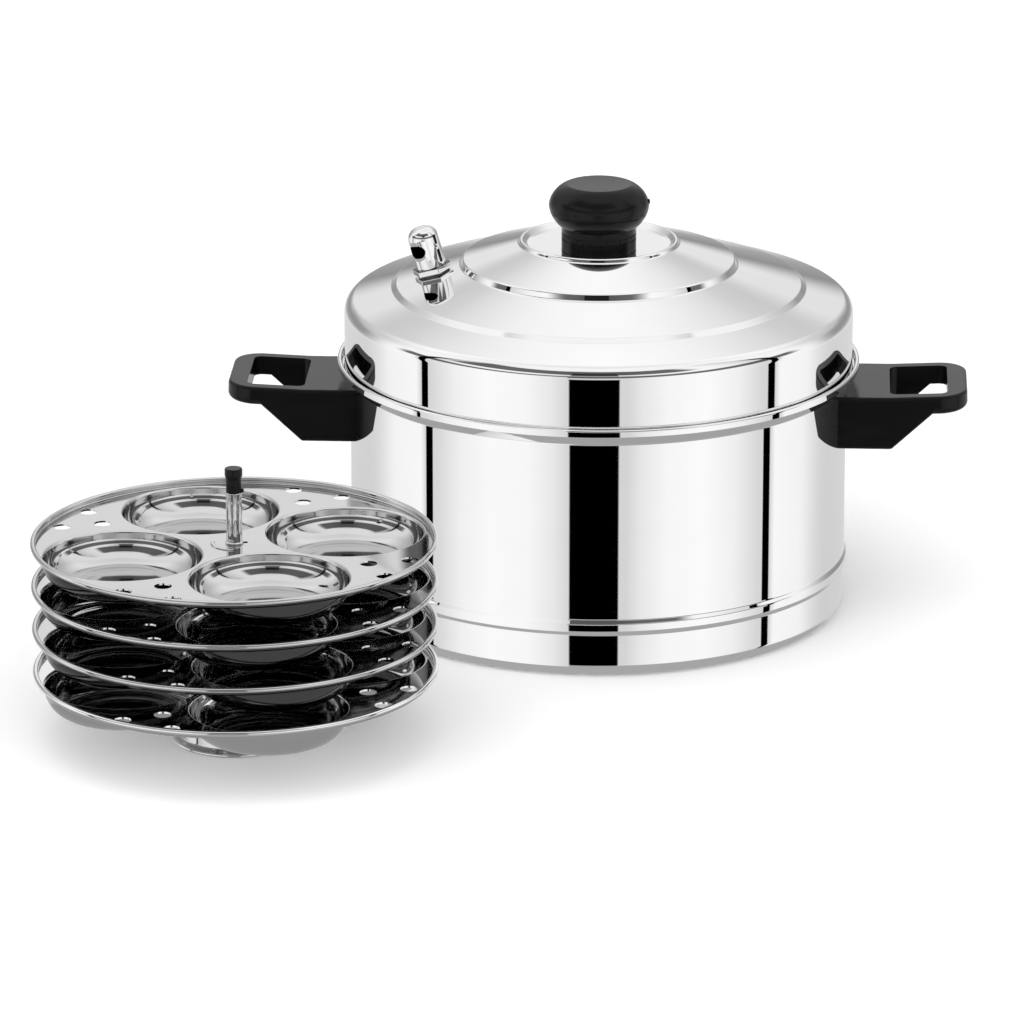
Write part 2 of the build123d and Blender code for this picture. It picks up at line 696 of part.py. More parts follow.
with BuildPart() as lift_insert:
    with BuildSketch(stand_level(rod_shoulder_level + lift_insert_gap)):
        Circle(rod_hole_radius - snug_fit)
        Circle(rod_thread_radius + loose_fit, mode=Mode.SUBTRACT)
    extrude(amount=lift_insert_length)
lift_insert.part.label = "lift_insert"
export_step(lift_insert.part, "parts/lift_insert.step")

lift_cap_top = lift_tube_top + lift_cap_height
cap_head_level = lift_cap_top - lift_cap_head_height
with BuildPart() as lift_cap:
    with BuildSketch(stand_section):
        with BuildLine():
            FilletPolyline(
                (0, lift_tube_top),
                (lift_cap_radius, lift_tube_top),
                (lift_cap_radius, cap_head_level - lift_cap_waist_height),
                (lift_cap_head_radius, cap_head_level),
                (lift_cap_head_radius, lift_cap_top),
                (0, lift_cap_top),
                radius=[lift_cap_edge / 2, lift_cap_edge, lift_cap_edge, lift_cap_edge],
            )
            Line((0, lift_cap_top), (0, lift_tube_top))
        make_face()
    revolve(axis=stand_axis)
    with BuildSketch(stand_level(lift_tube_top - lift_cap_plug_length)):
        Circle(rod_hole_radius - snug_fit)
    extrude(amount=lift_cap_plug_length)
    with BuildSketch(stand_level(lift_tube_top)):
        with Locations((lift_cap_radius, 0)):
            RectangleRounded(lift_cap_nub_reach * 2, lift_cap_nub_width, lift_cap_nub_width / 4)
    extrude(amount=lift_cap_nub_height)
lift_cap.part.label = "lift_cap"
export_step(lift_cap.part, "parts/lift_cap.step")
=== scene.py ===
"""Dressed scene of a household idli steamer: a pot with a domed lid, and its stand of cupped plates."""
from math import cos, pi, radians, sin, tan

import bmesh
import bpy
from bpy.props import FloatProperty, FloatVectorProperty, IntProperty, PointerProperty
from bpy.types import Operator, Panel, PropertyGroup
from mathutils import Matrix, Vector


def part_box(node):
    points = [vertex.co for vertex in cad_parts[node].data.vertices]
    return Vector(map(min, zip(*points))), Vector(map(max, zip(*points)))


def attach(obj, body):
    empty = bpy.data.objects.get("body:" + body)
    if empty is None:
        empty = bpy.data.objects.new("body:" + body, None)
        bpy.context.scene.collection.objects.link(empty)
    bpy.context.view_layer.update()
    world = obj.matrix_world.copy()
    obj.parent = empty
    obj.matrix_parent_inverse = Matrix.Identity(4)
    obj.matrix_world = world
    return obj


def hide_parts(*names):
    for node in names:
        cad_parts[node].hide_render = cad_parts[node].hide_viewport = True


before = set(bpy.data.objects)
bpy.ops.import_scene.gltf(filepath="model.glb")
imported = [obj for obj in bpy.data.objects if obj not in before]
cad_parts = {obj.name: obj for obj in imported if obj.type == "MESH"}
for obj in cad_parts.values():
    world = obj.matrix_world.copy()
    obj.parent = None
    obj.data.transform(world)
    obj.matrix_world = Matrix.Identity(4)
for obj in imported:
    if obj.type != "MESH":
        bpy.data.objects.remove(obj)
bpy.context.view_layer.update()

bl_info = {
    "name": "Idli Steamer",
    "version": (1, 0, 0),
    "blender": (4, 5, 0),
    "location": "3D View > Sidebar > Steamer",
    "description": "Dresses the packed steamer and sets its floor, lights and camera",
    "category": "Object",
}

MM = 0.001
POT = Vector((0, 0, 0))
ROD_LOW, ROD_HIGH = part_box("stand_rod")
STAND = Vector(((ROD_LOW.x + ROD_HIGH.x) / 2, (ROD_LOW.y + ROD_HIGH.y) / 2, 0))

# Angles in degrees. Each plate has the bearing of its first cup, from the top plate down
LID_SLOPE = 16.2
VENT_BEARING = 184.5
CUP_BEARINGS = (22.3, 15.6, 23.2, 21.2)
STEAM_HOLE_SPREAD = 8.6
SHARP_EDGE = 32.0

# Plate sizes in millimetres: radii, distances from the rod's axis, and heights over the flat
PLATE_FLAT = 90.85
RIM_BEAD, RIM_BEAD_LEVEL = 1.25, 1.75
CUP_LIP, CUP_CIRCLE, CUP_DEPTH = 37.427, 53.14, 13.4
STEAM_HOLE, INNER_HOLES, OUTER_HOLES = 4.0, 68.48, 83.8

# Light of the studio on mirrors, where 1 is white: on the camera's side by degrees from its bearing, and on
# the far side by height from -1 straight below to 1 straight above
PANELS = ((0, 0.74), (13, 0.74), (20, 0.9), (32, 1.04), (50, 1.07), (66, 0.97), (80, 0.75), (87, 0.75),
          (90, 1.04), (110, 1.0), (135, 0.8), (180, 0.6))
FAR_SIDE = ((-0.35, 0.65), (-0.2, 0.8), (-0.05, 0.4), (0.1, 0.3), (0.26, 0.36), (0.36, 0.56), (0.55, 0.7),
            (0.76, 1.09), (1.0, 0.88))
BRIGHTEST = 1.1


class SteamerSizes(PropertyGroup):
    pot_radius: FloatProperty(
        name="Pot Radius", description="Outer radius of the pot's wall", default=0.12,
        unit="LENGTH", subtype="DISTANCE")
    pot_sheet: FloatProperty(
        name="Pot Sheet", description="Thickness of the pot's steel", default=0.00085,
        unit="LENGTH", subtype="DISTANCE", precision=5)
    lid_radius: FloatProperty(
        name="Lid Radius", description="Outer radius of the lid's skirt", default=0.1228,
        unit="LENGTH", subtype="DISTANCE")
    thin_sheet: FloatProperty(
        name="Thin Sheet", description="Thickness of the lid's, the plates' and the foot's steel",
        default=0.0008, unit="LENGTH", subtype="DISTANCE", precision=5)
    round_steps: IntProperty(
        name="Round Steps", description="Facets round the pot and the lid", default=256, min=32, max=512)


class SteamerFinish(PropertyGroup):
    steel: FloatVectorProperty(
        name="Polished Steel", description="Colour of the pot, the lid and the lowest plate",
        subtype="COLOR", size=4, default=(0.9, 0.9, 0.905, 1), min=0, max=1)
    plate_steel: FloatVectorProperty(
        name="Pressed Steel", description="Colour of the other plates and the foot", subtype="COLOR", size=4,
        default=(0.68, 0.68, 0.685, 1), min=0, max=1)
    chrome: FloatVectorProperty(
        name="Chrome", description="Colour of the rod, the tubes and the vent", subtype="COLOR", size=4,
        default=(0.88, 0.88, 0.89, 1), min=0, max=1)
    fastener: FloatVectorProperty(
        name="Fastener Steel", description="Colour of screws, nuts, washers and brackets", subtype="COLOR",
        size=4, default=(0.6, 0.6, 0.61, 1), min=0, max=1)
    phenolic: FloatVectorProperty(
        name="Black Phenolic", description="Colour of the handles, knob and cap", subtype="COLOR", size=4,
        default=(0.004, 0.004, 0.0045, 1), min=0, max=1)
    brass: FloatVectorProperty(
        name="Brass", description="Colour of the threaded inserts", subtype="COLOR", size=4,
        default=(0.72, 0.52, 0.24, 1), min=0, max=1)
    rubber: FloatVectorProperty(
        name="Gasket Rubber", description="Colour of the vent's gasket", subtype="COLOR", size=4,
        default=(0.05, 0.05, 0.052, 1), min=0, max=1)


class SteamerStage(PropertyGroup):
    distance: FloatProperty(
        name="Camera Distance", description="From the pot's middle to the camera", default=3.2,
        unit="LENGTH", subtype="DISTANCE")
    bearing: FloatProperty(
        name="Camera Bearing", description="How far the camera stands round towards the right handle",
        default=radians(2.0), subtype="ANGLE")
    height_angle: FloatProperty(
        name="Camera Height", description="How far the camera looks down", default=radians(17.5),
        subtype="ANGLE")
    lens: FloatProperty(name="Lens", description="Focal length in millimetres", default=231.0)
    aim_side: FloatProperty(
        name="Aim Left", description="Turn of the camera to the left of the pot's middle",
        default=radians(0.7475), subtype="ANGLE")
    aim_down: FloatProperty(
        name="Aim Down", description="Turn of the camera below the pot's middle",
        default=radians(0.278), subtype="ANGLE")
    daylight: FloatProperty(
        name="Studio Light", description="Brightness of the studio on dull surfaces", default=0.76, min=0)
    low_light: FloatProperty(
        name="Low Light", description="Extra brightness of the studio near the horizon", default=4.2, min=0)
    key_power: FloatProperty(
        name="Key Lamp", description="Power of the large lamp overhead, in watts", default=9.0, min=0)


class Socket:
    """Output of a shader node, on which arithmetic adds Math nodes."""

    def __init__(self, shade, link):
        self.shade = shade
        self.link = link

    def __add__(self, other):
        return self.shade.maths("ADD", self, other)

    __radd__ = __add__

    def __sub__(self, other):
        return self.shade.maths("SUBTRACT", self, other)

    def __rsub__(self, other):
        return self.shade.maths("SUBTRACT", other, self)

    def __mul__(self, other):
        return self.shade.maths("MULTIPLY", self, other)

    __rmul__ = __mul__

    def __truediv__(self, other):
        return self.shade.maths("DIVIDE", self, other)

    def __pow__(self, power):
        return self.shade.maths("POWER", self, power)

    def __abs__(self):
        return self.shade.maths("ABSOLUTE", self)

    def rise(self, low, high):
        """Smooth step from 0 at low to 1 at high."""
        return self.shade.node("ShaderNodeMapRange", {"interpolation_type": "SMOOTHSTEP"},
                               {"Value": self, "From Min": low, "From Max": high})

    def stripe(self, middle, reach, end):
        """1 within a reach of the middle, falling to 0 at the end distance from it."""
        return 1 - abs(self - middle).rise(reach, end)

    def towards(self, other, share):
        """This value moved by a share of the way to another."""
        return self + share * (other - self)


class Shade:
    """Node tree of one material or of the world."""

    def __init__(self, tree):
        self.tree = tree
        tree.nodes.clear()

    def node(self, kind, settings=None, values=None, output=0):
        """Adds a node, its settings first, then the values or links of its sockets, and gives one output."""
        made = self.tree.nodes.new(kind)
        for name, value in (settings or {}).items():
            if name == "stops":
                ramp = made.color_ramp.elements
                while len(ramp) < len(value):
                    ramp.new(1.0)
                for stop, (place, colour) in zip(ramp, value):
                    stop.position = place
                    stop.color = colour
            else:
                setattr(made, name, value)
        for name, value in (values or {}).items():
            if isinstance(value, Socket):
                self.tree.links.new(value.link, made.inputs[name])
            else:
                made.inputs[name].default_value = value
        return None if output is None else Socket(self, made.outputs[output])

    def maths(self, operation, *values):
        return self.node("ShaderNodeMath", {"operation": operation}, dict(enumerate(values)))

    def mix(self, factor, first, second):
        """Blend of two colours."""
        first_colour, second_colour, blended_colour = 6, 7, 2
        return self.node("ShaderNodeMix", {"data_type": "RGBA"},
                         {"Factor": factor, first_colour: first, second_colour: second},
                         output=blended_colour)

    def ramp(self, factor, lights):
        """Brightness that follows a factor from stop to stop, held under 1 in the ramp itself."""
        stops = [(place, grey(light / BRIGHTEST)) for place, light in lights]
        return self.node("ShaderNodeValToRGB", {"stops": stops}, {"Fac": factor}) * BRIGHTEST

    def vector(self, x, y, z):
        return self.node("ShaderNodeCombineXYZ", None, {"X": x, "Y": y, "Z": z})

    def split(self, vector):
        """X, Y and Z of a vector."""
        parts = self.node("ShaderNodeSeparateXYZ", None, {"Vector": vector}).link.node.outputs
        return [Socket(self, part) for part in parts]

    def spot(self, centre=POT):
        """Place on the object, measured from a centre."""
        spot = self.node("ShaderNodeTexCoord", output="Object")
        if any(centre):
            spot = self.node("ShaderNodeMapping", None, {"Vector": spot, "Location": -centre})
        return spot

    def noise(self, where, scale=1.0, detail=2.0, rough=0.5):
        """Noise whose scale is in cycles to each unit of the place, metres on an object."""
        return self.node("ShaderNodeTexNoise", None,
                         {"Vector": where, "Scale": scale, "Detail": detail, "Roughness": rough})

    def bump(self, height, strength, distance):
        return self.node("ShaderNodeBump", None,
                         {"Height": height, "Strength": strength, "Distance": distance})

    def ray(self, kind):
        """Answer of the Light Path node, such as Is Glossy Ray."""
        return self.node("ShaderNodeLightPath", output=kind)

    def surface(self, **values):
        """Principled surface as the material's output. Underscores stand for the spaces in socket names."""
        made = self.node("ShaderNodeBsdfPrincipled", None,
                         {name.replace("_", " "): value for name, value in values.items()})
        self.node("ShaderNodeOutputMaterial", None, {"Surface": made}, output=None)

    def blended_surface(self, factor, first, second):
        """Blend of two shaders as the material's output."""
        made = self.node("ShaderNodeMixShader", None, {0: factor, 1: first, 2: second})
        self.node("ShaderNodeOutputMaterial", None, {"Surface": made}, output=None)


def grey(level):
    return (level, level, level, 1)


def shaded(colour, share):
    """Colour made darker, or lighter where the share is over 1."""
    return tuple(part * share for part in colour[:3]) + (1,)


def new_material(name):
    material = bpy.data.materials.new(name)
    material.use_nodes = True
    return material, Shade(material.node_tree)


def turned_steel(name, colour, centre, dullness, line_depth, cloud, painted_shade_grey):
    """Steel polished on a wheel: fine rings about an axis, with a faint haze and cleaning marks.

    Faces marked on the mesh get painted shade: a darker grey of their own, standing in for the shadow on
    undersides and insides. They are also a little duller.
    """
    material, shade = new_material(name)
    spot = shade.spot(centre)
    x, y, z = shade.split(spot)
    radius = (x * x + y * y) ** 0.5
    angle = shade.maths("ARCTAN2", y, x)
    rings = shade.noise(shade.vector(radius * 1000, angle * 3, z * 1000), scale=2.2, detail=3.0, rough=0.6)
    haze = shade.noise(spot, scale=26.0, detail=3.0, rough=0.55)
    marks = shade.noise(shade.vector(x * 40, y * 260, z * 120), rough=0.7)
    rub = marks.rise(0.62, 0.78)
    # Painted shade: faces marked on the mesh take a darker grey and are a little rougher
    dull = shade.node("ShaderNodeAttribute", {"attribute_name": "dull_side"}, output="Fac")
    clean = shade.mix(haze.rise(0.3, 0.75) * 0.5 + rub * 0.2, colour, shaded(colour, 1 - cloud))
    shade.surface(
        Base_Color=shade.mix(dull, clean, grey(painted_shade_grey)),
        Metallic=1.0,
        Roughness=rings * 0.02 + haze.rise(0.35, 0.8) * 0.015 + rub * 0.02 + dull * 0.06 + dullness,
        Normal=shade.bump(rings, strength=0.25, distance=line_depth),
    )
    return material


def plain_steel(name, colour):
    """Steel of small parts, with the fine scratches of rolling and handling."""
    material, shade = new_material(name)
    spot = shade.spot()
    x, y, z = shade.split(spot)
    grain = shade.noise(shade.vector(x * 900, y * 900, z * 160), detail=3.0, rough=0.6)
    stain = shade.noise(spot, scale=140.0)
    shade.surface(
        Base_Color=shade.mix(stain.rise(0.35, 0.75), colour, shaded(colour, 0.82)),
        Metallic=1.0,
        Roughness=grain * 0.14 + stain.rise(0.3, 0.8) * 0.08 + 0.2,
        Normal=shade.bump(grain, strength=0.3, distance=0.00003),
    )
    return material


def moulded_phenolic(name, colour):
    """Black moulding compound: satin skin with a fine grain, paler flow patches and dust specks."""
    material, shade = new_material(name)
    spot = shade.spot()
    x, y, z = shade.split(spot)
    grain = shade.noise(spot, scale=1700.0, rough=0.6)
    flow = shade.noise(shade.vector(x * 30, y * 30, z * 75), detail=3.0, rough=0.6)
    specks = shade.noise(spot, scale=900.0, detail=1.0).rise(0.73, 0.8)
    shade.surface(
        Base_Color=shade.mix(flow.rise(0.4, 0.8) * 0.4 + specks * 0.5, colour, shaded(colour, 2.6)),
        Roughness=flow * 0.1 + grain * 0.05 + 0.11,
        Specular_IOR_Level=0.15,
        Normal=shade.bump(grain + flow * 0.6, strength=0.2, distance=0.00004),
    )
    return material


def cast_brass(name, colour):
    """Brass with the lines of turning and a brown tarnish."""
    material, shade = new_material(name)
    spot = shade.spot()
    x, y, z = shade.split(spot)
    turned = shade.noise(shade.vector(x * 60, y * 60, z * 2600))
    tarnish = shade.noise(spot, scale=220.0, detail=3.0)
    shade.surface(
        Base_Color=shade.mix(tarnish.rise(0.35, 0.75) * 0.6, colour, (0.42, 0.3, 0.14, 1)),
        Metallic=1.0,
        Roughness=tarnish * 0.2 + 0.16,
        Normal=shade.bump(turned, strength=0.3, distance=0.00004),
    )
    return material


def pressed_rubber(name, colour):
    """Matt rubber with a fine grain and a pale bloom."""
    material, shade = new_material(name)
    spot = shade.spot()
    grain = shade.noise(spot, scale=1500.0)
    bloom = shade.noise(spot, scale=90.0, detail=3.0)
    shade.surface(
        Base_Color=shade.mix(bloom.rise(0.4, 0.8) * 0.5, colour, shaded(colour, 1.8)),
        Roughness=bloom * 0.1 + 0.62,
        Normal=shade.bump(grain, strength=0.4, distance=0.00006),
    )
    return material


# Maker, colour and values of each finish; among the values is the grey of the painted shade on marked faces
FINISHES = {
    "polished_pot_steel": (turned_steel, "steel", {
        "centre": POT, "dullness": 0.004, "line_depth": 0.000003, "cloud": 0.05, "painted_shade_grey": 0.5}),
    "pressed_plate_steel": (turned_steel, "plate_steel", {
        "centre": STAND, "dullness": 0.05, "line_depth": 0.000008, "cloud": 0.07, "painted_shade_grey": 0.12}),
    "lowest_plate_steel": (turned_steel, "steel", {
        "centre": STAND, "dullness": 0.05, "line_depth": 0.000008, "cloud": 0.07, "painted_shade_grey": 0.6}),
    "stand_tube_chrome": (turned_steel, "chrome", {
        "centre": STAND, "dullness": 0.01, "line_depth": 0.000003, "cloud": 0.03, "painted_shade_grey": 0.4}),
    "vent_chrome": (turned_steel, "chrome", {
        "centre": POT, "dullness": 0.02, "line_depth": 0.000003, "cloud": 0.03, "painted_shade_grey": 0.02}),
    "plain_fastener_steel": (plain_steel, "fastener", {}),
    "black_moulding": (moulded_phenolic, "phenolic", {}),
    "turned_brass": (cast_brass, "brass", {}),
    "black_gasket": (pressed_rubber, "rubber", {}),
}


def finish(name):
    """Material of the object by name, made once."""
    if name in bpy.data.materials:
        return bpy.data.materials[name]
    maker, colour, values = FINISHES[name]
    look = bpy.context.scene.steamer_finish
    return maker(name, tuple(getattr(look, colour)), **values)


def draw_outline(points, bends, steps=6, closed=False):
    """Outline in the XZ plane through points in millimetres, each corner rounded by its bend.

    A bend of one radian gets as many facets as steps says.
    """
    mesh = bmesh.new()
    corners = [mesh.verts.new((x * MM, 0, z * MM)) for x, z in points]
    ends = zip(corners, corners[1:] + corners[:1]) if closed else zip(corners, corners[1:])
    for first, second in list(ends):
        mesh.edges.new((first, second))
    places = [corner.co.copy() for corner in corners]
    for index, bend in enumerate(bends):
        if not bend:
            continue
        here, before, after = (places[i % len(places)] for i in (index, index - 1, index + 1))
        turn = (here - before).angle(after - here)
        bmesh.ops.bevel(
            mesh, geom=[corners[index]], offset=bend * MM * tan(turn / 2), offset_type="OFFSET",
            segments=max(3, round(steps * min(1.5, turn))), profile=0.5, affect="VERTICES", material=-1)
    return mesh


def spin_round(mesh, centre=POT, steps=128, start=0.0, sweep=2 * pi):
    """Spins an outline that was drawn about the origin round the upright axis through a centre."""
    if start:
        bmesh.ops.rotate(mesh, verts=mesh.verts, cent=POT, matrix=Matrix.Rotation(start, 3, "Z"))
    bmesh.ops.translate(mesh, verts=mesh.verts, vec=centre)
    whole = abs(sweep - 2 * pi) < 1e-6
    bmesh.ops.spin(
        mesh, geom=mesh.verts[:] + mesh.edges[:], cent=centre, axis=(0, 0, 1), angle=sweep, steps=steps,
        use_merge=whole)
    bmesh.ops.remove_doubles(mesh, verts=mesh.verts, dist=1e-6)
    bmesh.ops.recalc_face_normals(mesh, faces=mesh.faces)


def thicken(mesh, sheet, facing, centre=POT):
    """Gives an open sheet its thickness, behind the side that looks up or down at the middle."""
    middle = min(mesh.faces, key=lambda face: (face.calc_center_median() - centre).xy.length)
    if middle.normal.z * facing < 0:
        bmesh.ops.reverse_faces(mesh, faces=mesh.faces)
    bmesh.ops.solidify(mesh, geom=mesh.faces[:], thickness=sheet)


def join(mesh, other):
    """Adds another bmesh to one and frees it."""
    carrier = bpy.data.meshes.new("carrier")
    other.to_mesh(carrier)
    other.free()
    mesh.from_mesh(carrier)
    bpy.data.meshes.remove(carrier)


def bead_ring(distance, level, radius, steps):
    """Round bead about the stand's axis, sizes in millimetres."""
    mesh = bmesh.new()
    bmesh.ops.create_circle(mesh, cap_ends=False, radius=radius * MM, segments=20,
                            matrix=Matrix.Rotation(pi / 2, 4, "X"))
    bmesh.ops.translate(mesh, verts=mesh.verts, vec=(distance * MM, 0, level * MM))
    spin_round(mesh, STAND, steps)
    return mesh


def moulding_nub(size, bend, steps, centre):
    """Small block with rounded edges, its size and bend in millimetres and its centre in metres."""
    mesh = bmesh.new()
    bmesh.ops.create_cube(mesh, size=1.0)
    bmesh.ops.scale(mesh, vec=Vector(size) * MM, verts=mesh.verts)
    bmesh.ops.bevel(mesh, geom=mesh.edges[:], offset=bend * MM, offset_type="OFFSET", segments=steps,
                    profile=0.5, affect="EDGES", material=-1)
    bmesh.ops.translate(mesh, verts=mesh.verts, vec=centre)
    return mesh


def round_stand(distance, bearing, level):
    """Place round the stand's axis, from millimetres and degrees."""
    turn = radians(bearing)
    return STAND + Vector((distance * cos(turn), distance * sin(turn), level)) * MM


def edges_at(verts):
    """Edges that meet any of the vertices, each once and in a fixed order."""
    return list(dict.fromkeys(edge for vert in verts for edge in vert.link_edges))


def mark_painted_shade(mesh, gets_painted_shade):
    """Marks the faces of a mesh that get painted shade, a darker grey for sides that would lie in shadow."""
    layer = mesh.faces.layers.float.new("dull_side")
    for face in mesh.faces:
        face[layer] = 1.0 if gets_painted_shade(face) else 0.0


def show(name, data):
    """New object in the scene."""
    shown = bpy.data.objects.new(name, data)
    bpy.context.scene.collection.objects.link(shown)
    return shown


def show_mesh(mesh, name, material):
    """New object of a bmesh, which it frees."""
    data = bpy.data.meshes.new(name)
    mesh.to_mesh(data)
    mesh.free()
    data.materials.append(material)
    return show(name, data)


def place_piece(mesh, name, body, material, nodes):
    """Finished object from a bmesh: smooth, with its sharp edges kept, riding on its body."""
    for face in mesh.faces:
        face.smooth = True
    for edge in mesh.edges:
        if len(edge.link_faces) == 2 and edge.calc_face_angle(0.0) > radians(SHARP_EDGE):
            edge.smooth = False
    piece = show_mesh(mesh, name, finish(material))
    even = piece.modifiers.new("even_normals", "WEIGHTED_NORMAL")
    even.mode = "FACE_AREA"
    even.weight = 90
    even.keep_sharp = True
    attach(piece, body)
    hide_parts(*nodes)


def merged_copy(node):
    """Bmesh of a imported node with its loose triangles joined."""
    mesh = bmesh.new()
    mesh.from_mesh(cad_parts[node].data)
    bmesh.ops.remove_doubles(mesh, verts=mesh.verts, dist=2e-6)
    bmesh.ops.dissolve_degenerate(mesh, edges=mesh.edges, dist=1e-7)
    return mesh


def coat(material, *nodes):
    """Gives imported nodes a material."""
    for node in nodes:
        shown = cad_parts[node]
        if not shown.material_slots:
            shown.data.materials.append(None)
        for slot in shown.material_slots:
            slot.link = "OBJECT"
            slot.material = finish(material)


class STEAMER_OT_pot(Operator):
    """Spin the deep-drawn pot with its rolled bead, collar and folded hem"""

    bl_idname = "steamer.pot"
    bl_label = "Pot"

    def execute(self, context):
        sizes = context.scene.steamer_sizes
        wall = sizes.pot_radius / MM
        bead, hem, fold = wall + 1.3, wall + 4.85, wall + 5.35
        points = [(0, 0), (wall, 0), (wall, 21.25), (bead, 23.125), (bead, 26.875), (wall, 28.75),
                  (wall, 115.2), (hem, 120.6), (hem, 123.15), (fold, 123.15), (fold, 120.6)]
        bends = [0, 6.5, 1.4, 1.4, 1.4, 1.4, 1.5, 1.5, 0.24, 0.24, 0]
        mesh = draw_outline(points, bends, steps=8)
        spin_round(mesh, steps=sizes.round_steps)
        thicken(mesh, sizes.pot_sheet, facing=-1)
        place_piece(mesh, "pot_body", "pot", "polished_pot_steel", ["pot_shell"])
        return {"FINISHED"}


class STEAMER_OT_handles(Operator):
    """Dress the two side handles with their hidden brackets and screws"""

    bl_idname = "steamer.handles"
    bl_label = "Side Handles"

    def execute(self, context):
        for side in ("left", "right"):
            mesh = merged_copy(f"handle_{side}")
            place_piece(mesh, f"side_handle_{side}", "pot", "black_moulding",
                        [f"handle_{side}"])
        coat("plain_fastener_steel", "bracket_left", "bracket_right", "handle_screws")
        return {"FINISHED"}


class STEAMER_OT_lid(Operator):
    """Spin the domed lid with its terraces and dished plateau"""

    bl_idname = "steamer.lid"
    bl_label = "Lid"

    def execute(self, context):
        sizes = context.scene.steamer_sizes
        skirt = sizes.lid_radius / MM
        shoulder, knob_hole = 151.9, 2.55
        dish_wall, dish_depth = 3.0, 3.1
        points = [(skirt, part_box("lid_shell")[0].z / MM), (skirt, shoulder)]
        bends = [0, 6.5]
        edge, level = points[-1]
        # Each terrace: where its step stands on the radius, how wide the step is and how far it climbs
        for share, width, climb in ((0.8143, 2.3, 2.2), (0.5456, 1.5, 3.0), (0.3168, 1.35, 2.7)):
            foot = skirt * share
            level += (edge - foot) * tan(radians(LID_SLOPE))
            points.append((foot, level))
            edge, level = foot - width, level + climb
            points.append((edge, level))
            bends += [1.0, 1.2]
        points += [(edge - dish_wall, level - dish_depth), (knob_hole, level - dish_depth)]
        bends += [1.0, 0]
        mesh = draw_outline(points, bends, steps=8)
        spin_round(mesh, steps=sizes.round_steps)
        thicken(mesh, sizes.thin_sheet, facing=1)
        place_piece(mesh, "lid_dome", "lid", "polished_pot_steel", ["lid_shell"])
        return {"FINISHED"}


class STEAMER_OT_knob(Operator):
    """Turn the black knob with its grooves and moulding nub, and dress its fixings"""

    bl_idname = "steamer.knob"
    bl_label = "Lid Knob"

    def execute(self, context):
        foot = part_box("lid_knob")[0].z / MM
        hole, deep = 4.55, 14.3
        neck, groove, groove_width = 18.0, 17.6, 0.7
        outline = [(0, deep), (hole, deep), (hole, 0), (neck, 0)]
        for level in (2.6, 5.2):
            outline += [(neck, level), (groove, level)]
            outline += [(groove, level + groove_width), (neck, level + groove_width)]
        outline += [(neck, 8.6), (24.15, 12.38), (24.15, 19.6), (23.13, 27.44), (15.5, 29.5), (0, 28.9)]
        bends = [0] * 13 + [12.7, 0, 11.6, 0.8, 0]
        mesh = draw_outline([(x, z + foot) for x, z in outline], bends, steps=12)
        spin_round(mesh, steps=128)
        join(mesh, moulding_nub((2.4, 2.6, 2.6), 0.9, 4, Vector((23.4, 0, foot + 20.9)) * MM))
        place_piece(mesh, "knob", "lid", "black_moulding", ["lid_knob"])
        coat("turned_brass", "knob_insert")
        coat("plain_fastener_steel", "knob_screw", "knob_washer")
        return {"FINISHED"}


class STEAMER_OT_vent(Operator):
    """Dress the steam vent with its gasket and nut"""

    bl_idname = "steamer.vent"
    bl_label = "Steam Vent"

    def execute(self, context):
        mesh = merged_copy("vent_body")
        outwards = Matrix.Rotation(radians(VENT_BEARING), 3, "Z") @ Vector((1, 0, 0))
        upright = Vector((0, 0, cos(radians(LID_SLOPE)))) + outwards * sin(radians(LID_SLOPE))
        low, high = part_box("vent_nut")
        chamber_height = 19.0 * MM
        chamber = (low + high) / 2 + upright * chamber_height
        # Painted shade on the faces that look into the vent's chamber
        mark_painted_shade(mesh, lambda face: face.normal.dot(face.calc_center_median() - chamber) < 0)
        place_piece(mesh, "steam_vent", "lid", "vent_chrome", ["vent_body"])
        coat("black_gasket", "vent_gasket")
        coat("plain_fastener_steel", "vent_nut")
        return {"FINISHED"}


class STEAMER_OT_stand(Operator):
    """Spin the stand's beaded foot, and dress its rod, spacers and fixings"""

    bl_idname = "steamer.stand"
    bl_label = "Stand"

    def execute(self, context):
        rod_hole, side, top = 2.55, 26.3, 18.0
        bead, bead_distance = 1.1, 28.775
        points = [(rod_hole, top), (side, top), (side, 2.7), (28.5, 2.2)]
        mesh = draw_outline(points, [0, 3.0, 1.1, 0], steps=8)
        spin_round(mesh, STAND, steps=128)
        thicken(mesh, context.scene.steamer_sizes.thin_sheet, facing=1, centre=STAND)
        # Painted shade on the foot's inner faces
        mark_painted_shade(mesh, lambda face: face.normal.dot(face.calc_center_median() - STAND) < 0)
        join(mesh, bead_ring(bead_distance, level=bead, radius=bead, steps=128))
        place_piece(mesh, "foot_skirt", "stand", "pressed_plate_steel", ["stand_foot"])
        coat("stand_tube_chrome", "stand_rod", *(f"spacer_{n}" for n in range(1, 5)))
        coat("plain_fastener_steel", "foot_washer", "foot_nut")
        return {"FINISHED"}


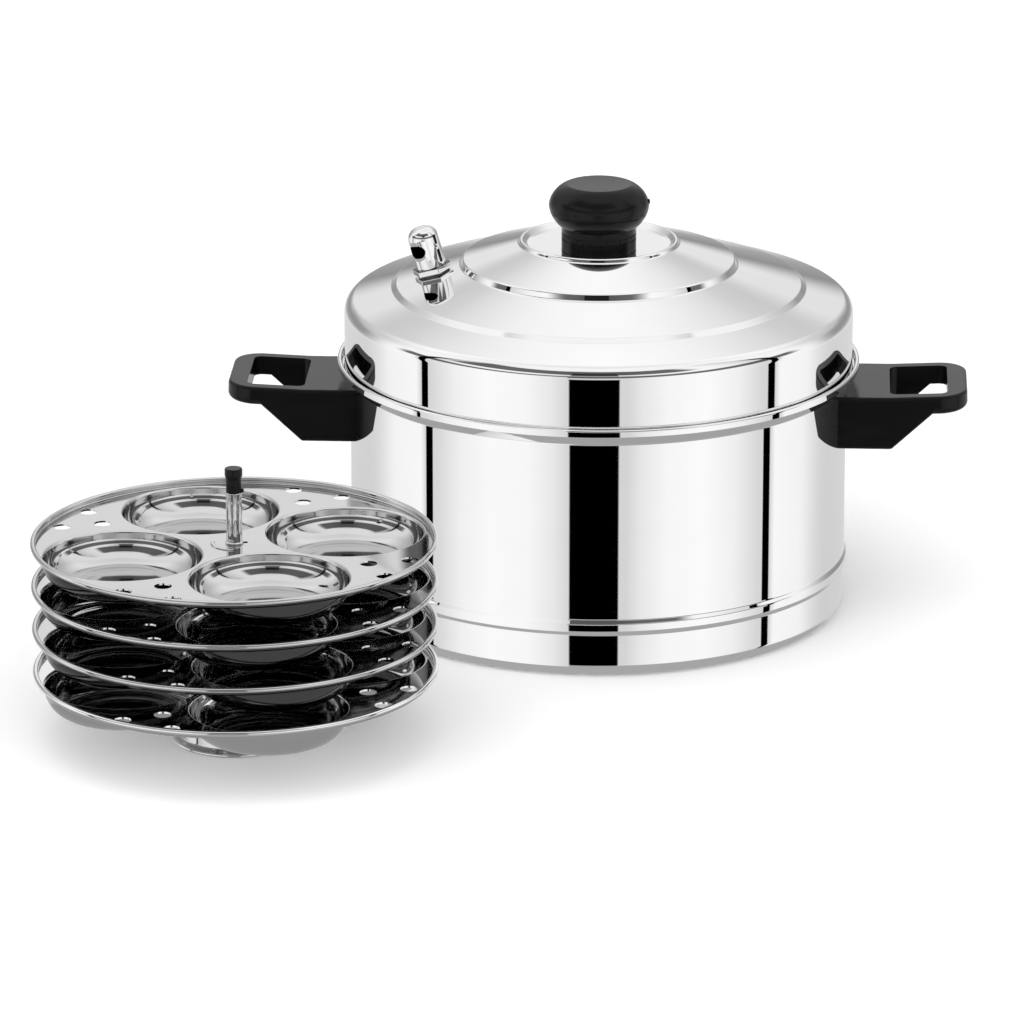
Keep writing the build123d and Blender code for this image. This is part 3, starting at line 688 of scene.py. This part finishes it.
class STEAMER_OT_plates(Operator):
    """Press the four plates with their cups, steam holes and beaded rims"""

    bl_idname = "steamer.plates"
    bl_label = "Plates"

    def rod_hole(self, mesh, level):
        """Edges of the round hole for the rod with the slot at its side."""
        radius, slot_end, slot_width = 2.8, 6.2, 2.4
        slot_bearing, slot_mouth = 20.0, 50.8
        before = set(mesh.verts)
        turned = Matrix.Rotation(radians(slot_bearing + slot_mouth / 2), 3, "Z")
        first = mesh.verts.new(turned @ Vector((radius * MM, 0, 0)))
        arc = bmesh.ops.spin(mesh, geom=[first], cent=POT, axis=(0, 0, 1), angle=radians(360 - slot_mouth),
                             steps=24, use_merge=False)
        last = [item for item in arc["geom_last"] if isinstance(item, bmesh.types.BMVert)][0]
        along = Matrix.Rotation(radians(slot_bearing), 3, "Z")
        corners = [mesh.verts.new(along @ Vector((slot_end * MM, side * slot_width / 2 * MM, 0)))
                   for side in (1, -1)]
        for ends in ((first, corners[0]), corners, (corners[1], last)):
            mesh.edges.new(ends)
        made = [vert for vert in mesh.verts if vert not in before]
        bmesh.ops.translate(mesh, verts=made, vec=STAND + Vector((0, 0, level * MM)))
        return edges_at(made)

    def punched_flat(self, mesh, level, first_cup):
        """Flat of a plate with the openings for its cups, its steam holes and the rod."""
        rings = [(PLATE_FLAT, 0, 0, 192)]
        for turn in range(0, 360, 90):
            between = first_cup + 45 + turn
            rings.append((CUP_LIP, CUP_CIRCLE, first_cup + turn, 96))
            rings.append((STEAM_HOLE, INNER_HOLES, between, 28))
            rings.append((STEAM_HOLE, OUTER_HOLES, between - STEAM_HOLE_SPREAD, 28))
            rings.append((STEAM_HOLE, OUTER_HOLES, between + STEAM_HOLE_SPREAD, 28))
        edges = []
        for radius, distance, bearing, steps in rings:
            place = Matrix.Translation(round_stand(distance, bearing, level))
            made = bmesh.ops.create_circle(mesh, cap_ends=False, radius=radius * MM, segments=steps,
                                           matrix=place)
            edges += edges_at(made["verts"])
        edges += self.rod_hole(mesh, level)
        bmesh.ops.triangle_fill(mesh, use_beauty=True, use_dissolve=False, edges=edges, normal=(0, 0, 1))

    def pressed_ridge(self, level):
        """Curved ridge beside the rod."""
        inner, outer, height, root = 9.1, 10.9, level + 0.6, level - 0.1
        ridge = draw_outline([(inner, root), (inner, height), (outer, height), (outer, root)],
                             [0, 0.45, 0.45, 0], steps=4, closed=True)
        spin_round(ridge, STAND, 40, start=radians(173), sweep=radians(100))
        bmesh.ops.holes_fill(ridge, edges=[edge for edge in ridge.edges if edge.is_boundary], sides=0)
        bmesh.ops.recalc_face_normals(ridge, faces=ridge.faces)
        return ridge

    def press(self, flat, first_cup, sheet):
        """One plate with its flat at a level in millimetres, and its cups from a first bearing."""
        mesh = bmesh.new()
        self.punched_flat(mesh, flat, first_cup)
        wall = draw_outline([(PLATE_FLAT, flat), (PLATE_FLAT + 0.5, flat + 0.5),
                             (PLATE_FLAT + 0.7, flat + RIM_BEAD_LEVEL)], [0, 0.4, 0], steps=4)
        spin_round(wall, STAND, 192)
        join(mesh, wall)
        for turn in range(0, 360, 90):
            cup = draw_outline([(0, flat - CUP_DEPTH), (CUP_LIP - 3.2, flat - CUP_DEPTH),
                                (CUP_LIP - 1.4, flat), (CUP_LIP, flat)], [0, 12.0, 1.4, 0], steps=12)
            spin_round(cup, round_stand(CUP_CIRCLE, first_cup + turn, 0), 96)
            join(mesh, cup)
        bmesh.ops.remove_doubles(mesh, verts=mesh.verts, dist=2e-6)
        bmesh.ops.recalc_face_normals(mesh, faces=mesh.faces)
        thicken(mesh, sheet, facing=1, centre=STAND)
        # Painted shade on the plate's undersides, standing in for the shadow between the plates
        mark_painted_shade(mesh, lambda face: face.normal.z < 0)
        join(mesh, bead_ring(PLATE_FLAT + 0.9, level=flat + RIM_BEAD_LEVEL, radius=RIM_BEAD, steps=192))
        join(mesh, self.pressed_ridge(flat))
        return mesh

    def execute(self, context):
        for place, first_cup in enumerate(CUP_BEARINGS, start=1):
            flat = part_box(f"plate_{place}")[1].z / MM - (RIM_BEAD_LEVEL + RIM_BEAD)
            mesh = self.press(flat, first_cup, context.scene.steamer_sizes.thin_sheet)
            steel = "lowest_plate_steel" if place == len(CUP_BEARINGS) else "pressed_plate_steel"
            place_piece(mesh, f"cupped_plate_{place}", f"tray_{place}", steel,
                        [f"plate_{place}"])
        return {"FINISHED"}


class STEAMER_OT_lift_handle(Operator):
    """Turn the lifting handle's chrome tube and black cap"""

    bl_idname = "steamer.lift_handle"
    bl_label = "Lifting Handle"

    def execute(self, context):
        low, high = (corner.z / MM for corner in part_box("lift_tube"))
        bore, side, flange, flange_top = 2.8, 3.65, 4.1, low + 1.0
        tube = draw_outline([(bore, low), (flange, low), (flange, flange_top), (side, flange_top),
                             (side, high), (bore, high)], [0, 0.2, 0.3, 0.2, 0.25, 0], steps=4, closed=True)
        spin_round(tube, STAND, 64)
        place_piece(tube, "chrome_tube", "lift_handle", "stand_tube_chrome", ["lift_tube"])
        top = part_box("lift_cap")[1].z / MM
        plug, neck, head = 2.75, 3.5, 4.05
        points = [(0, high - 6.0), (plug, high - 6.0), (plug, high), (neck, high), (neck, top - 5.2),
                  (head, top - 3.2), (head, top), (0, top)]
        cap = draw_outline(points, [0, 0.3, 0, 0.25, 0.5, 0.5, 0.6, 0], steps=5)
        spin_round(cap, STAND, 64)
        join(cap, moulding_nub((2.2, 1.6, 1.8), 0.35, 3, round_stand(neck, 0, high + 0.9)))
        place_piece(cap, "black_cap", "lift_handle", "black_moulding", ["lift_cap"])
        coat("turned_brass", "lift_insert")
        return {"FINISHED"}


class STEAMER_OT_stage(Operator):
    """Set the pale floor, the studio light and the camera"""

    bl_idname = "steamer.stage"
    bl_label = "Floor, Light and Camera"

    def lay_floor(self):
        """Wide pale floor with a faint glow of its own for the camera, unseen by mirrors."""
        own_glow = 0.06
        mesh = bmesh.new()
        bmesh.ops.create_circle(mesh, cap_ends=True, radius=6.0, segments=96)
        material, shade = new_material("pale_floor")
        grain = shade.noise(shade.spot(), scale=900.0)
        card = shade.node("ShaderNodeBsdfDiffuse", None, {
            "Color": shade.mix(grain.rise(0.3, 0.7) * 0.02, grey(0.95), grey(0.9)), "Roughness": 0.6})
        glow = shade.node("ShaderNodeEmission", None, {"Color": grey(1), "Strength": 1.0})
        shade.blended_surface(shade.ray("Is Camera Ray") * own_glow, card, glow)
        floor = show_mesh(mesh, "pale_floor", material)
        floor.visible_glossy = False

    def bearing_at(self, shade, x, y, turn):
        """Bearing of a direction from the camera's own, in degrees."""
        front = x * sin(turn) - y * cos(turn)
        side = x * cos(turn) + y * sin(turn)
        return shade.maths("ARCTAN2", side, front) * (180 / pi)

    def panel_light(self, shade, bearing):
        """Light of the studio's panels at a bearing."""
        return shade.ramp(abs(bearing) / 180, [(angle / 180, light) for angle, light in PANELS])

    def light_studio(self, stage):
        """World that lights dull surfaces evenly and shows mirrors a studio of pale panels and dark gaps."""
        world = bpy.data.worlds.new("white_studio")
        world.use_nodes = True
        shade = Shade(world.node_tree)
        x, y, z = shade.split(shade.node("ShaderNodeTexCoord", output="Generated"))
        bearing = self.bearing_at(shade, x, y, stage.bearing)
        side = abs(bearing)

        # Camera's side: the panels, a dark gap that a bar crosses, two slits, and a dim low and high band
        overhead = self.panel_light(shade, bearing).towards(1.02, z.rise(0.86, 0.94))
        bar = z.stripe(0.58, 0.1, 0.14)
        gap = bearing.stripe(-1.75, 10.9, 11.7) * (1 - z.rise(-0.12, 0.0) + bar * 0.85)
        slits = side.stripe(84.6, 1.8, 2.4) * (1 - z.rise(0.6, 0.8))
        low_band = z.stripe(0.3, 0.1, 0.14) * (1 - side.rise(95, 105)) * 0.85
        high_band = z.stripe(0.72, 0.13, 0.17) * bearing.stripe(-15, 58, 70) * 0.86
        camera_side = overhead * (1 - gap) * (1 - slits) * (1 - low_band) * (1 - high_band)

        # Far side: light by height, with one pale panel straight behind
        far_side = shade.ramp(z / 2 + 0.5, [(height / 2 + 0.5, light) for height, light in FAR_SIDE])
        far_panel = side.rise(148, 176) * z.rise(0.08, 0.26) * (1 - z.rise(0.36, 0.5))
        far_side = far_side.towards(0.92, far_panel)
        mirrored = camera_side.towards(far_side, side.rise(105, 135))
        mirrored = mirrored.towards(0.42, 1 - z.rise(-0.5, -0.42))

        # Mirrors that light the floor or another dull surface spill only a little of what they show
        bounces = shade.ray("Diffuse Depth")
        spill = 1 - shade.maths("MINIMUM", bounces, 1.0) * 0.95
        dull = z.stripe(0, 0.25, 0.35) * stage.low_light + stage.daylight
        shown = dull.towards(mirrored * spill, shade.ray("Is Glossy Ray"))
        seen = shade.maths("MAXIMUM", shade.ray("Is Camera Ray"), shade.ray("Is Transmission Ray"))
        light = shade.node("ShaderNodeBackground", None, {
            "Color": grey(1), "Strength": shown.towards(1, seen)})
        shade.node("ShaderNodeOutputWorld", None, {"Surface": light}, output=None)
        bpy.context.scene.world = world

    def hang_lamp(self, stage):
        """Large round lamp over the object, unseen by mirrors."""
        data = bpy.data.lights.new("overhead", "AREA")
        data.shape = "DISK"
        data.size = 1.6
        data.energy = stage.key_power
        lamp = show("overhead", data)
        lamp.location = (-0.5, -0.6, 2.2)
        aim = Vector((0, 0, 0.05)) - lamp.location
        lamp.rotation_euler = aim.to_track_quat("-Z", "Y").to_euler()
        lamp.visible_glossy = False

    def stand_card(self, stage):
        """Bright card that keeps the stand out of the pot's reflections, seen only in them.

        The pot's reflections fan out behind the card, so it shows the panels' light of a wider bearing.
        """
        radius, low, high = 0.15, -0.02, 0.157
        from_camera, sweep, spread = radians(-49.5), radians(41.5), 1.65
        mesh = bmesh.new()
        mesh.edges.new([mesh.verts.new((radius, 0, z)) for z in (low, high)])
        spin_round(mesh, POT, 48, start=3 * pi / 2 + stage.bearing + from_camera, sweep=sweep)
        face = next(iter(mesh.faces))
        if face.normal.dot(face.calc_center_median()) > 0:
            bmesh.ops.reverse_faces(mesh, faces=mesh.faces)
        material, shade = new_material("stand_card")
        x, y, _height = shade.split(shade.spot())
        light = self.panel_light(shade, self.bearing_at(shade, x, y, stage.bearing) * spread)
        glow = shade.node("ShaderNodeEmission", None, {"Color": light, "Strength": 1.0})
        clear = shade.node("ShaderNodeBsdfTransparent", None, {"Color": grey(1)})
        shade.blended_surface(shade.node("ShaderNodeNewGeometry", output="Backfacing"), glow, clear)
        card = show_mesh(mesh, "stand_card", material)
        for kind in ("camera", "diffuse", "shadow", "transmission", "volume_scatter"):
            setattr(card, f"visible_{kind}", False)

    def set_camera(self, stage):
        """Camera on a line to a point over the pot's base, turned a little left and down from it."""
        turn, height = stage.bearing, stage.height_angle
        target = Vector((0, 0, 0.06))
        back = Vector((sin(turn) * cos(height), -cos(turn) * cos(height), sin(height)))
        right = Vector((cos(turn), sin(turn), 0))
        up = back.cross(right)
        look = -back - right * tan(stage.aim_side) - up * tan(stage.aim_down)
        data = bpy.data.cameras.new("photo_camera")
        data.lens = stage.lens
        data.sensor_width = 36
        data.clip_end = 50
        camera = show("photo_camera", data)
        camera.location = target + back * stage.distance
        camera.rotation_euler = look.to_track_quat("-Z", "Y").to_euler()
        bpy.context.scene.camera = camera

    def execute(self, context):
        stage = context.scene.steamer_stage
        self.lay_floor()
        self.stand_card(stage)
        self.light_studio(stage)
        self.hang_lamp(stage)
        self.set_camera(stage)
        context.scene.view_settings.view_transform = "Standard"
        return {"FINISHED"}


class STEAMER_PT_panel(Panel):
    """Sizes, finishes and builders of the steamer"""

    bl_idname = "STEAMER_PT_panel"
    bl_label = "Idli Steamer"
    bl_space_type = "VIEW_3D"
    bl_region_type = "UI"
    bl_category = "Steamer"

    def draw(self, context):
        scene = context.scene
        for group in (scene.steamer_sizes, scene.steamer_finish, scene.steamer_stage):
            box = self.layout.box()
            for name in group.bl_rna.properties.keys():
                if name not in ("rna_type", "name"):
                    box.prop(group, name)
        column = self.layout.column(align=True)
        for builder in BUILDERS:
            column.operator(builder.bl_idname)


BUILDERS = (
    STEAMER_OT_pot, STEAMER_OT_handles, STEAMER_OT_lid, STEAMER_OT_knob, STEAMER_OT_vent, STEAMER_OT_stand,
    STEAMER_OT_plates, STEAMER_OT_lift_handle, STEAMER_OT_stage,
)
CLASSES = (SteamerSizes, SteamerFinish, SteamerStage, *BUILDERS, STEAMER_PT_panel)


def register():
    for kind in CLASSES:
        bpy.utils.register_class(kind)
    bpy.types.Scene.steamer_sizes = PointerProperty(type=SteamerSizes)
    bpy.types.Scene.steamer_finish = PointerProperty(type=SteamerFinish)
    bpy.types.Scene.steamer_stage = PointerProperty(type=SteamerStage)


def unregister():
    del bpy.types.Scene.steamer_stage
    del bpy.types.Scene.steamer_finish
    del bpy.types.Scene.steamer_sizes
    for kind in reversed(CLASSES):
        bpy.utils.unregister_class(kind)


def main():
    register()
    bpy.ops.steamer.pot()
    bpy.ops.steamer.handles()
    bpy.ops.steamer.lid()
    bpy.ops.steamer.knob()
    bpy.ops.steamer.vent()
    bpy.ops.steamer.stand()
    bpy.ops.steamer.plates()
    bpy.ops.steamer.lift_handle()
    bpy.ops.steamer.stage()
    bpy.context.view_layer.update()


if __name__ == "__main__":
    main()
